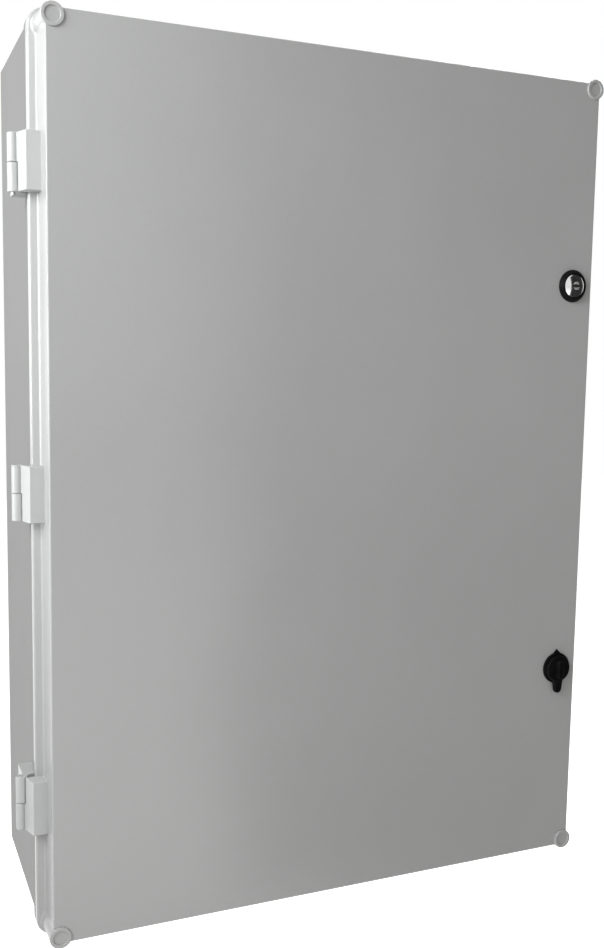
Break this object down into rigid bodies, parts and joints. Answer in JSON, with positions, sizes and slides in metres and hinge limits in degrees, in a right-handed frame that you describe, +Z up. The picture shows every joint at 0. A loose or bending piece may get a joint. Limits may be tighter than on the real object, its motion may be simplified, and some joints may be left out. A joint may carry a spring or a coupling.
{
  "type": "electrical enclosure",
  "caption": "Wall-mounting electrical enclosure: deep moulded tub, hinged hat-section door with a sealed lip, quarter-turn locks on the right and a mounting plate inside.",
  "frame": {"origin": "centre of the wall-fixing holes, in the plane of the wall", "axes": "+X to the right seen from the front, +Y into the wall, +Z up"},
  "size_m": [0.5155, 0.2193, 0.7186],
  "materials": {
    "grey_polyester": "semi-matt moulded",
    "grey_polyamide": "semi-matt moulded",
    "black_plastic": "satin moulded",
    "lock_chrome": "polished",
    "steel_pin": "ground",
    "zinc_plate": "zinc plated",
    "zinc_fastener": "zinc plated",
    "brass_insert": "turned",
    "seal_foam": "closed-cell foam",
    "seal_rubber": "matt"
  },
  "bodies": {
    "enclosure": {"enclosure_shell": "grey_polyester", "plate_inserts": "brass_insert", "mounting_plate": "zinc_plate", "plate_washers": "zinc_fastener", "plate_screws": "zinc_fastener", "body_hinge_screws": "zinc_fastener", "strike_screws": "zinc_fastener", "upper_strike": "zinc_plate", "lower_strike": "zinc_plate", "body_hinge_leaf_top": "grey_polyamide", "body_hinge_leaf_middle": "grey_polyamide", "body_hinge_leaf_bottom": "grey_polyamide", "hinge_pin_top": "steel_pin", "hinge_pin_middle": "steel_pin", "hinge_pin_bottom": "steel_pin"},
    "door": {"door_panel": "grey_polyester", "door_gasket": "seal_foam", "door_hinge_screws": "zinc_fastener", "upper_lock_housing": "black_plastic", "lower_lock_housing": "black_plastic", "upper_lock_seal": "seal_rubber", "lower_lock_seal": "seal_rubber", "upper_lock_nut": "zinc_fastener", "lower_lock_nut": "zinc_fastener", "door_hinge_leaf_top": "grey_polyamide", "door_hinge_leaf_middle": "grey_polyamide", "door_hinge_leaf_bottom": "grey_polyamide"},
    "upper_lock": {"upper_lock_core": "lock_chrome", "upper_lock_cam": "zinc_plate", "upper_cam_screw": "zinc_fastener"},
    "lower_lock": {"lower_wing_knob": "black_plastic", "lower_lock_cam": "zinc_plate", "lower_cam_screw": "zinc_fastener"}
  },
  "joints": [
    {"name": "door_swing", "type": "hinge", "parent": "enclosure", "child": "door", "pos_m": [-0.2609, -0.174, 0], "axis": [0, 0, -1], "range_deg": [0, 180]},
    {"name": "upper_lock_turn", "type": "hinge", "parent": "door", "child": "upper_lock", "pos_m": [0.2219, -0.21, 0.1742], "axis": [0, 1, 0], "range_deg": [0, 90]},
    {"name": "lower_lock_turn", "type": "hinge", "parent": "door", "child": "lower_lock", "pos_m": [0.2219, -0.21, -0.1768], "axis": [0, 1, 0], "range_deg": [0, 90]}
  ]
}
